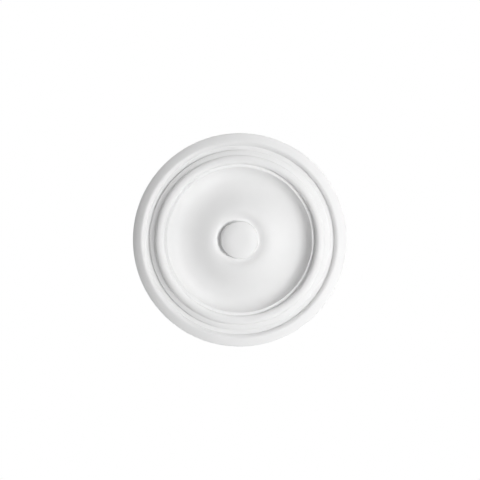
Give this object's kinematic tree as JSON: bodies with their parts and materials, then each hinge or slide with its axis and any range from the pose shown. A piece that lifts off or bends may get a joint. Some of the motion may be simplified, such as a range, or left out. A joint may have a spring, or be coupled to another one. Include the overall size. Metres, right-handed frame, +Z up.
{
  "type": "ceiling rose",
  "caption": "Round moulded ceiling rose with a central button, a broad swelling in a dished middle, and stepped rings round the edge.",
  "frame": {"origin": "centre of the flat back, where the rose meets the ceiling", "axes": "+Z up into the ceiling along the rose's axis, the moulded face looks down along -Z; X and Y lie in the ceiling"},
  "size_m": [0.26, 0.26, 0.025],
  "materials": {
    "white_moulding": "primed matte white, smooth moulded skin"
  },
  "bodies": {
    "root": {"ceiling_rose": "white_moulding"}
  },
  "joints": []
}
